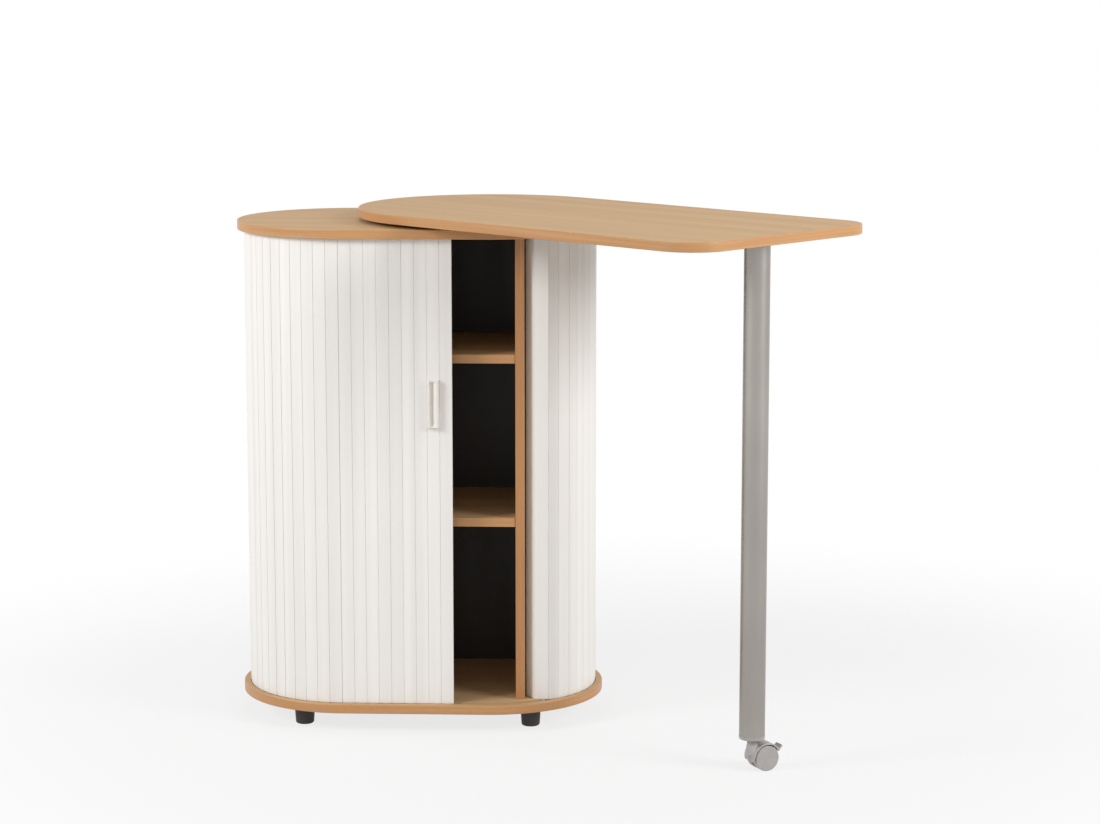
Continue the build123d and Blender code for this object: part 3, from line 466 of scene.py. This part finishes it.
def slat(name, plan):
    """One upright slat: its plan is drawn, filled and pulled up, and it gets its tongues."""
    bpy.ops.object.select_all(action="DESELECT")
    bpy.ops.mesh.primitive_plane_add(size=0.001)
    piece = begin(name)
    bpy.ops.mesh.merge(type="CENTER")
    bpy.ops.transform.translate(value=(*plan[0], SLAT_LOW))
    for start, stop in zip(plan, plan[1:]):
        step = (stop[0] - start[0], stop[1] - start[1], 0)
        bpy.ops.mesh.extrude_region_move(TRANSFORM_OT_translate={"value": step})
    bpy.ops.mesh.select_all(action="SELECT")
    bpy.ops.mesh.edge_face_add()
    bpy.ops.mesh.extrude_region_move(TRANSFORM_OT_translate={"value": (0, 0, SLAT_H)})
    mend()

    def face_arris(edge):
        upright = edge.calc_length() > SLAT_H / 2
        return upright and all(vert.co.y < -FACE + SAME_PLACE for vert in edge.verts)

    pick(piece, "edges", face_arris)
    bpy.ops.mesh.bevel(offset=SLAT_ARRIS, segments=3, affect="EDGES")
    reach = TONGUE_SIZE[2] / 2 - TONGUE_HIDDEN
    for middle in (SLAT_LOW - reach, SLAT_HIGH + reach):
        bpy.ops.mesh.primitive_cube_add(size=1, location=(0, 0, middle))
        bpy.ops.transform.resize(value=TONGUE_SIZE, center_override=(0, 0, middle))
    bpy.ops.object.mode_set(mode="OBJECT")
    return piece


HALF = (SLAT_PITCH - SLAT_JOINT) / 2
BACK_DRAFT = 0.0006
LIP_DRAFT = 0.0001
LIP_REACH = 0.0019
SLOT_DEPTH = 0.0024
SLOT_PLAY_FACE = 0.0003
SLOT_PLAY_BACK = 0.0005
SLOT_FACE = LIP_FACE + SLOT_PLAY_FACE
SLOT_BACK = LIP_BACK - SLOT_PLAY_BACK
hook_side = [
    (-HALF + BACK_DRAFT, FACE),
    (-HALF + LIP_DRAFT, -LIP_BACK),
    (-HALF - LIP_REACH, -LIP_BACK),
    (-HALF - LIP_REACH, -LIP_FACE),
    (-HALF, -LIP_FACE),
    (-HALF, -FACE),
]
slot_side = [
    (HALF, -FACE),
    (HALF, -SLOT_FACE),
    (HALF - SLOT_DEPTH, -SLOT_FACE),
    (HALF - SLOT_DEPTH, -SLOT_BACK),
    (HALF - LIP_DRAFT, -SLOT_BACK),
    (HALF - BACK_DRAFT, FACE),
]
closing_side = [(HALF, -FACE), (HALF, FACE)]
slat_white = surface(
    "extruded_off_white",
    tone(243, 240, 236),
    tone(233, 229, 224),
    (0.03, 0.03, 3.0),
    (0.0012, 0.0012, 0.05),
    shade=0.015,
    gloss=(0.34, 0.44),
)


def walk(start, steps, distance):
    """Place on a walk of straights and left-hand bends, as x, y, z and the heading."""
    x, y, heading = start
    for length, radius in steps:
        step = min(distance, length)
        if radius is None:
            x += step * math.cos(heading)
            y += step * math.sin(heading)
        else:
            swing = heading + step / radius
            x += radius * (math.sin(swing) - math.sin(heading))
            y -= radius * (math.cos(swing) - math.cos(heading))
            heading = swing
        distance -= step
    return (x, y, 0, heading)


PATH_R = 0.2095
STRAIGHT = 2 * STRAIGHT_HALF
HALF_ROUND = math.pi * PATH_R
SLAT_COUNT = 42
LEAD_EDGE_X = 0.0787
LEAD_AT = STRAIGHT + HALF_ROUND + STRAIGHT_HALF + LEAD_EDGE_X - SLAT_PITCH / 2
TRAVEL = 0.178
groove_start = (STRAIGHT_HALF, PATH_R, math.pi)
groove = [(STRAIGHT, None), (HALF_ROUND, PATH_R), (STRAIGHT, None)]
runs = {"lead": [], "front": [], "turn": [], "side": [], "back": []}
for number in range(SLAT_COUNT):
    at = LEAD_AT - number * SLAT_PITCH
    if at + TRAVEL > 2 * STRAIGHT + HALF_ROUND:
        run = "lead"
    elif at >= STRAIGHT + HALF_ROUND:
        run = "front"
    elif at + TRAVEL > STRAIGHT + HALF_ROUND:
        run = "turn"
    elif at > STRAIGHT:
        run = "side"
    else:
        run = "back"
    runs[run].append(walk(groove_start, groove, at))
plain_slat = slat("curtain_plain", hook_side + slot_side)
closing_slat = slat("curtain_closing", hook_side + closing_side)
for run in ("front", "side"):
    group = twin(plain_slat, f"curtain_{run}")
    copies(group, runs[run])
    fit(group, slat_white, f"curtain_{run}", "white_slat", f"tambour_{run}_slats")
for run in ("lead", "turn", "back"):
    for number, place in enumerate(runs[run], 1):
        first = run == "lead" and number == 1
        piece = twin(closing_slat if first else plain_slat, f"curtain_{run}_{number}")
        copies(piece, [place])
        fit(piece, slat_white, f"{run}_slat_{number}", "white_slat", f"tambour_{run}_slat_{number}")
for pattern in (plain_slat, closing_slat):
    bpy.data.objects.remove(pattern)

# Standing slats: the same slats round the right end, mitred side by side and fixed. Their free
# edge turns in beside the right divider.
POCKET_X = 0.2265
POCKET_LENGTH = 0.05
RETURN_R = 0.034
FIXED_SHIFT = 0.01
FIXED_COUNT = 18
ALIKE_FROM = 6
LIP_UNDER = 0.0011
return_turn = math.asin((POCKET_X + RETURN_R - STRAIGHT_HALF) / (PATH_R - RETURN_R))
pocket_y = -(PATH_R - RETURN_R) * math.cos(return_turn) + POCKET_LENGTH
fixed_start = (POCKET_X, pocket_y, -math.pi / 2)
fixed_run = [
    (POCKET_LENGTH, None),
    (RETURN_R * (return_turn + math.pi / 2), RETURN_R),
    (PATH_R * (math.pi - return_turn), PATH_R),
]
places = [
    walk(fixed_start, fixed_run, FIXED_SHIFT + SLAT_PITCH * (number - 0.5))
    for number in range(FIXED_COUNT + 2)
]
STRAIGHT_ON = 0.001


def mitre(place, neighbour):
    """Ends of a fixed slat's face and back, cut at half the angle to its neighbour."""
    turn = neighbour[3] - place[3]
    apart = (neighbour[0] - place[0], neighbour[1] - place[1])
    ahead = apart[0] * math.cos(place[3]) + apart[1] * math.sin(place[3])
    aside = apart[1] * math.cos(place[3]) - apart[0] * math.sin(place[3])
    side = math.copysign(1, ahead)
    meet = ahead / 2 if abs(turn) < STRAIGHT_ON else ahead - aside / math.tan(turn)
    flare = FACE * math.tan(abs(turn) / 2)
    return meet + side * (flare - SLAT_JOINT / 2), meet - side * (flare + SLAT_JOINT / 2)


standing = []
for number in range(1, ALIKE_FROM + 2):
    place = places[number]
    left_face, left_back = mitre(place, places[number - 1])
    right_face, right_back = mitre(place, places[number + 1])
    slope = (left_back - left_face) / (2 * FACE)
    lip_back = left_face + slope * (FACE - LIP_BACK)
    lip_face = left_face + slope * (FACE - LIP_FACE)
    plan = [
        (left_back, FACE),
        (lip_back, -LIP_BACK),
        (lip_face - LIP_UNDER, -LIP_BACK),
        (lip_face - LIP_UNDER, -LIP_FACE),
        (lip_face, -LIP_FACE),
        (left_face, -FACE),
        (right_face, -FACE),
        (right_back, FACE),
    ]
    piece = slat(f"standing_slat_{number}", plan)
    copies(piece, [place] if number <= ALIKE_FROM else places[number:-1])
    standing.append(piece)
bpy.ops.object.select_all(action="DESELECT")
for piece in standing:
    piece.select_set(True)
standing_slats = standing[0]
bpy.context.view_layer.objects.active = standing_slats
bpy.ops.object.join()
standing_slats.name = "standing_slats"
standing_slats.data.name = "standing_slats"
fit(standing_slats, slat_white, "cabinet", "white_slat", "tambour_fixed_slats")

# Pull: a moulded block screwed to the second slat from behind, with a finger scoop that is
# steep at the left and runs out to the right.
PULL_SIZE = (0.022, 0.01, 0.096)
PULL_PLACE = (0.0412, -0.219, 0.672)
PULL_ROUND = 0.0018
SCOOP_RIM = 0.0022
SCOOP_END_RIM = 0.0004
SCOOP_DEPTH = 0.0062
SCOOP_CUTS = 31
SCOOP_END = 0.007
SCOOP_STEEP_SHARE = 0.07
SCOOP_FLAT_SHARE = 0.4
SQUARE_ON = 0.999


def eased(share):
    """Share from 0 to 1 that starts and ends softly."""
    held = min(max(share, 0.0), 1.0)
    return 3 * held**2 - 2 * held**3


bpy.ops.object.select_all(action="DESELECT")
bpy.ops.mesh.primitive_cube_add(size=1)
pull = begin("curtain_pull")
bpy.ops.transform.resize(value=PULL_SIZE, center_override=(0, 0, 0))
pick(pull, "faces", lambda face: face.normal.y < -LEVEL)
bpy.ops.mesh.bevel(offset=PULL_ROUND, segments=ROUND_STEPS, affect="EDGES")
pick(pull, "faces", lambda face: face.normal.y < -SQUARE_ON)
bpy.ops.mesh.inset(thickness=SCOOP_RIM)
scoop_half_w = PULL_SIZE[0] / 2 - PULL_ROUND - SCOOP_RIM
scoop_half_h = PULL_SIZE[2] / 2 - PULL_ROUND - SCOOP_END_RIM
reach = scoop_half_h / (scoop_half_h + SCOOP_END_RIM - SCOOP_RIM)
bpy.ops.transform.resize(value=(1, 1, reach), center_override=(0, 0, 0))
bpy.ops.mesh.subdivide(number_cuts=SCOOP_CUTS)
mesh = bmesh.from_edit_mesh(pull.data)
for vert in mesh.verts:
    if not vert.select:
        continue
    across = (vert.co.x + scoop_half_w) / (2 * scoop_half_w)
    rise = eased((across - SCOOP_FLAT_SHARE) / (1 - SCOOP_FLAT_SHARE))
    to_end = min((scoop_half_h - abs(vert.co.z)) / SCOOP_END, 1.0)
    end_round = math.sqrt(max(0.0, 1 - (1 - to_end) ** 2))
    vert.co.y += SCOOP_DEPTH * eased(across / SCOOP_STEEP_SHARE) * (1 - rise) * end_round
bmesh.update_edit_mesh(pull.data)
bpy.ops.object.mode_set(mode="OBJECT")
pull.location = PULL_PLACE
pull_white = surface(
    "moulded_off_white",
    tone(238, 234, 228),
    tone(232, 227, 221),
    (0.01, 0.01, 0.03),
    (0.0005, 0.0005, 0.0005),
    shade=0.02,
    gloss=(0.36, 0.46),
)
fit(pull, pull_white, "lead_slat_2", "white_slat", "tambour_pull")
dress(zinc, "pull_screws")

# Cabinet top: the same board and edging as the base, with the curtain's groove underneath.
CABINET_H = 1.02
dress(beech_along, "top_panel")
top_edging = edging("top_edging", -END_X, END_X, END_R, END_R, END_R)
top_edging.location.z = CABINET_H - BOARD_T
fit(top_edging, beech_edge, "cabinet", "beech_edge", "top_edge_band")

# Pivot: the table turns on a smooth black ring, round a bolt that comes up through a bush
# in the cabinet top into a nut in the table.
turned_black = surface(
    "turned_black_nylon",
    tone(48, 47, 46),
    tone(38, 37, 37),
    (0.03, 0.03, 0.03),
    (0.0008, 0.0008, 0.0008),
    gloss=(0.3, 0.4),
)
dress(turned_black, "glide_ring", "pivot_bush")
dress(zinc, "glide_screws", "pivot_bolt", "pivot_washer", "insert_nut")

# Table: a beech-faced board, round at the pivot and square at the outer end, edged all round.
# It stands turned out to the right.
TABLE_TURN = math.radians(-41.4)
TABLE_HALF_W = 0.27
TABLE_REACH = 0.783
TABLE_CORNER_R = 0.082
TABLE_Z = 1.027
PIVOT = (0.145, 0.0)
beech_table = surface(
    "beech_laminate_table",
    BEECH_PALE,
    BEECH_DEEP,
    BOARD_FIGURE,
    BOARD_FLECK,
    turn=(0, 0, TABLE_TURN),
    gloss=BOARD_GLOSS,
)
dress(beech_table, "table_top")
table_edging = edging(
    "table_edging", -TABLE_HALF_W, TABLE_REACH, TABLE_HALF_W, TABLE_HALF_W, TABLE_CORNER_R
)
table_edging.location = (*PIVOT, TABLE_Z)
table_edging.rotation_euler.z = TABLE_TURN
fit(table_edging, beech_edge, "table", "beech_edge", "table_edge_band")

# Leg: a steel tube, 50 mm across, painted silver grey. It sits over a socket that is screwed
# under the table, and a grub screw locks it from behind.
LEG_REACH = 0.703
LEG = (PIVOT[0] + LEG_REACH * math.cos(TABLE_TURN), PIVOT[1] + LEG_REACH * math.sin(TABLE_TURN))
TUBE_R = 0.025
TUBE_WALL = 0.002
TUBE_LOW = 0.0705
TUBE_EASE = 0.0004
TURNED_STEPS = 96
tube_bore_r = TUBE_R - TUBE_WALL
tube_half_section = [
    (tube_bore_r, TUBE_LOW),
    (TUBE_R, TUBE_LOW),
    (TUBE_R, TABLE_Z),
    (tube_bore_r, TABLE_Z),
    (tube_bore_r, TUBE_LOW),
]
silver_paint = surface(
    "silver_grey_paint",
    tone(168, 163, 157),
    tone(158, 153, 148),
    (0.08, 0.08, 0.3),
    (0.0007, 0.0007, 0.0007),
    shade=0.06,
    gloss=(0.32, 0.4),
)
silver_paint.node_tree.nodes["Principled BSDF"].inputs["Metallic"].default_value = 0.9
leg = turned("table_leg", tube_half_section, steps=TURNED_STEPS)
ease(leg, TUBE_EASE)
leg.location = (*LEG, 0)
fit(leg, silver_paint, "table", "leg_paint", "leg_tube")
dress(zinc, "leg_socket", "leg_socket_screws", "leg_grub_screw", "castor_stem")

# Leg cap: a moulded grey plug in the foot of the tube, with a lip that the tube stands on.
# The castor's stem is screwed into it.
CASTOR_H = 0.0635
CAP_R = 0.0254
CAP_BORE_R, CAP_BORE_TOP = 0.00505, CASTOR_H + 0.016
CAP_ROUND, CAP_ROUND_MID = 0.0025, (0.0008, 0.0007)
CAP_EASE = 0.0003
PLUG_R, PLUG_TOP = 0.02295, TUBE_LOW + 0.02
cap_half_section = [
    (0, CAP_BORE_TOP),
    (CAP_BORE_R, CAP_BORE_TOP),
    (CAP_BORE_R, CASTOR_H),
    (CAP_R - CAP_ROUND, CASTOR_H),
    (CAP_R - CAP_ROUND_MID[0], CASTOR_H + CAP_ROUND_MID[1]),
    (CAP_R, CASTOR_H + CAP_ROUND),
    (CAP_R, TUBE_LOW - CAP_EASE),
    (CAP_R - CAP_EASE, TUBE_LOW),
    (PLUG_R, TUBE_LOW),
    (PLUG_R, PLUG_TOP),
    (0, PLUG_TOP),
]
castor_grey = surface(
    "moulded_grey",
    tone(175, 170, 168),
    tone(167, 162, 160),
    (0.02, 0.02, 0.02),
    (0.0006, 0.0006, 0.0006),
    shade=0.05,
    gloss=(0.4, 0.5),
)
leg_cap = turned("leg_cap_moulded", cap_half_section, steps=TURNED_STEPS)
leg_cap.location = (*LEG, 0)
fit(leg_cap, castor_grey, "table", "castor_plastic", "leg_cap")

# Castor wheels: two closed wheels, moulded in grey plastic with slightly crowned discs. They
# turn on one steel axle behind the stem.
CASTOR_TURN = math.radians(28)
TRAIL = 0.0245
WHEEL_R = 0.025
WHEEL_INNER = 0.0045
WHEEL_OUTER = 0.02
WHEEL_ROUND = 0.0014
CROWN_R = 0.0235
CROWN_H = 0.0008
CROWN_SHARES = (1, 0.85, 0.7, 0.5, 0.3, 0.1, 0)
wheel_half_section = [
    (0, WHEEL_INNER),
    (WHEEL_R, WHEEL_INNER),
    (WHEEL_R, WHEEL_OUTER - CROWN_H),
    *((CROWN_R * share, WHEEL_OUTER - CROWN_H * share**2) for share in CROWN_SHARES),
]
trailing = (math.cos(CASTOR_TURN), math.sin(CASTOR_TURN))
for side, end in ((1, "near"), (-1, "far")):
    wheel = turned(f"castor_disc_{end}", wheel_half_section, steps=TURNED_STEPS)
    ease(wheel, WHEEL_ROUND, segments=4)
    wheel.rotation_euler = (side * math.pi / 2, 0, CASTOR_TURN)
    wheel.location = (LEG[0] + TRAIL * trailing[0], LEG[1] + TRAIL * trailing[1], WHEEL_R)
    fit(wheel, castor_grey, f"wheel_{end}", "castor_plastic", f"castor_wheel_{end}")
dress(zinc, "castor_axle")

# Castor hood: one grey moulding, a curved hood over both wheels with a neck round the stem,
# on which it swivels. The neck runs down the hood's front as a boss.


def moulded(name, node, grain, rounds, *grown_on):
    """Copy of a CAD piece as it leaves its mould, its edges run out in small radii."""
    piece = twin(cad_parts[node], name)
    bpy.ops.object.select_all(action="DESELECT")
    piece.select_set(True)
    bpy.context.view_layer.objects.active = piece
    bpy.ops.object.mode_set(mode="EDIT")
    mend()
    bpy.ops.object.mode_set(mode="OBJECT")
    for extra in grown_on:
        extra.select_set(True)
        bpy.ops.object.join()
    skin = piece.modifiers.new("skin", "REMESH")
    skin.mode = "VOXEL"
    skin.voxel_size = grain
    bpy.ops.object.modifier_apply(modifier=skin.name)
    soft = piece.modifiers.new("soft", "SMOOTH")
    soft.factor = 0.5
    soft.iterations = rounds
    bpy.ops.object.modifier_apply(modifier=soft.name)
    return piece


NECK_FOOT_R = 0.013
NECK_FOOT_Z = 0.0335
BOSS_LOW_R = 0.0068
BOSS_LOW_Z = 0.0185
BOSS_BACK = 0.0036
HOOD_GRAIN, HOOD_ROUNDS = 0.0005, 14
bpy.ops.object.select_all(action="DESELECT")
bpy.ops.mesh.primitive_cone_add(
    vertices=64,
    radius1=BOSS_LOW_R,
    radius2=NECK_FOOT_R,
    depth=NECK_FOOT_Z - BOSS_LOW_Z,
    location=(*LEG, (NECK_FOOT_Z + BOSS_LOW_Z) / 2),
)
boss = begin("neck_boss")
bpy.ops.mesh.select_all(action="SELECT")
bpy.ops.mesh.bisect(
    plane_co=(LEG[0] - BOSS_BACK * trailing[0], LEG[1] - BOSS_BACK * trailing[1], 0),
    plane_no=(*trailing, 0),
    use_fill=True,
    clear_outer=True,
)
bpy.ops.object.mode_set(mode="OBJECT")
hood = moulded("castor_hood", "castor_housing", HOOD_GRAIN, HOOD_ROUNDS, boss)
ROOT_LOW, ROOT_HIGH = 0.022, 0.0585
ROOT_BORE_R = 0.0066
ROOT_HALF_W = 0.0155
ROOT_ROUNDS = 50
FRONT_END = 0.006
FRONT_ROUNDS = ((0.032, 8), (0.029, 16), (0.026, 40))


def from_stem(vert):
    """Place of a point of the castor: how far behind the stem and how far aside of it."""
    x, y = vert.co.x - LEG[0], vert.co.y - LEG[1]
    return x * trailing[0] + y * trailing[1], y * trailing[0] - x * trailing[1]


def neck_root(vert):
    """Where the neck runs into the hood, clear of the stem's bore and of the hood's rims."""
    behind, aside = from_stem(vert)
    clear = math.hypot(behind, aside) > ROOT_BORE_R and abs(aside) < ROOT_HALF_W
    return clear and ROOT_LOW < vert.co.z < ROOT_HIGH


bpy.ops.object.mode_set(mode="EDIT")
pick(hood, "verts", neck_root)
bpy.ops.mesh.vertices_smooth(factor=0.5, repeat=ROOT_ROUNDS)
for under, rounds in FRONT_ROUNDS:
    pick(hood, "verts", lambda vert: vert.co.z < under and from_stem(vert)[0] < FRONT_END)
    bpy.ops.mesh.vertices_smooth(factor=0.5, repeat=rounds)
bpy.ops.object.mode_set(mode="OBJECT")
fit(hood, castor_grey, "castor", "castor_plastic", "castor_housing")

# Brake tab: a small grey moulding, hinged at the back of the hood. Pressed down by foot, it
# holds the wheels.
TAB_GRAIN, TAB_ROUNDS = 0.0003, 8
brake_tab = moulded("brake_tab", "brake_lever", TAB_GRAIN, TAB_ROUNDS)
fit(brake_tab, castor_grey, "brake", "castor_plastic", "brake_lever")

# Floor: a plain white studio floor that takes the object's shadow and fades to pure white
# away from it.
FLOOR_SIZE = 40
FLOOR_GREY = (0.65, 0.65, 0.65, 1)
SHADOW_MIDDLE = (0.35, -0.1, 0)
SHADOW_R, WHITE_R = 0.7, 2.0
SHADOW_WHITE = 0.78
bpy.ops.object.select_all(action="DESELECT")
bpy.ops.mesh.primitive_plane_add(size=FLOOR_SIZE)
floor = bpy.context.object
floor.name = "studio_floor"


def seen_directly(tree):
    """Share that is 1 for what the camera sees, straight, mirrored or through glass."""
    path = tree.nodes.new("ShaderNodeLightPath")
    seen = path.outputs["Is Camera Ray"]
    for other in ("Is Glossy Ray", "Is Transmission Ray"):
        either = tree.nodes.new("ShaderNodeMath")
        either.operation = "MAXIMUM"
        tree.links.new(seen, either.inputs[0])
        tree.links.new(path.outputs[other], either.inputs[1])
        seen = either.outputs[0]
    return seen


floor_white = bpy.data.materials.new("studio_white")
floor_white.use_nodes = True
tree = floor_white.node_tree
tree.nodes.clear()
matt = tree.nodes.new("ShaderNodeBsdfDiffuse")
matt.inputs["Color"].default_value = FLOOR_GREY
glow = tree.nodes.new("ShaderNodeEmission")
glow.inputs["Strength"].default_value = 1.0
place = tree.nodes.new("ShaderNodeTexCoord")
away = tree.nodes.new("ShaderNodeVectorMath")
away.operation = "DISTANCE"
away.inputs[1].default_value = SHADOW_MIDDLE
fade = tree.nodes.new("ShaderNodeMapRange")
fade.interpolation_type = "SMOOTHSTEP"
fade.inputs["From Min"].default_value = SHADOW_R
fade.inputs["From Max"].default_value = WHITE_R
fade.inputs["To Min"].default_value = SHADOW_WHITE
share = tree.nodes.new("ShaderNodeMath")
share.operation = "MULTIPLY"
mixed = tree.nodes.new("ShaderNodeMixShader")
out = tree.nodes.new("ShaderNodeOutputMaterial")
tree.links.new(place.outputs["Object"], away.inputs[0])
tree.links.new(away.outputs["Value"], fade.inputs["Value"])
tree.links.new(seen_directly(tree), share.inputs[0])
tree.links.new(fade.outputs["Result"], share.inputs[1])
tree.links.new(share.outputs[0], mixed.inputs["Fac"])
tree.links.new(matt.outputs["BSDF"], mixed.inputs[1])
tree.links.new(glow.outputs["Emission"], mixed.inputs[2])
tree.links.new(mixed.outputs["Shader"], out.inputs["Surface"])
floor.data.materials.append(floor_white)

# Studio: white all round to the camera, a soft key from the upper left, a weaker fill from
# the right and a broad light overhead.
ROOM_LIGHT = 0.4
ROOM_WHITE = 1.0
world = bpy.data.worlds.new("studio")
bpy.context.scene.world = world
world.use_nodes = True
tree = world.node_tree
background = tree.nodes["Background"]
level = tree.nodes.new("ShaderNodeMapRange")
level.inputs["To Min"].default_value = ROOM_LIGHT
level.inputs["To Max"].default_value = ROOM_WHITE
tree.links.new(seen_directly(tree), level.inputs["Value"])
tree.links.new(level.outputs["Result"], background.inputs["Strength"])
background.inputs["Color"].default_value = (1, 1, 1, 1)
AIM = (0.2, 0.0, 0.6)
for name, place, size, power in (
    ("key", (-3.4, -2.4, 2.7), 1.5, 122),
    ("fill", (3.6, -2.0, 2.3), 1.5, 107),
    ("overhead", (0.3, 0.2, 3.6), 2.6, 9),
):
    bpy.ops.object.light_add(type="AREA", location=place)
    lamp = bpy.context.object
    lamp.name = name
    lamp.data.size = size
    lamp.data.energy = power
    across = [aim - start for aim, start in zip(AIM, place)]
    lamp.rotation_euler = (
        math.atan2(math.hypot(across[0], across[1]), -across[2]),
        0,
        math.atan2(across[1], across[0]) - math.pi / 2,
    )

# Camera: at the eye level of someone who stands about six metres in front of the table's leg,
# looking a little down and to the left, with a long lens.
EYE = (0.5026, -6.0352, 1.6125)
LOOK_DOWN = math.radians(9.313)
LOOK_LEFT = math.radians(2.258)
LENS = 97.42
FILM_WIDTH = 36
bpy.ops.object.camera_add(location=EYE, rotation=(math.pi / 2 - LOOK_DOWN, 0, LOOK_LEFT))
camera = bpy.context.object
camera.data.lens = LENS
camera.data.sensor_fit = "HORIZONTAL"
camera.data.sensor_width = FILM_WIDTH
bpy.context.scene.camera = camera
bpy.context.scene.view_settings.view_transform = "Standard"
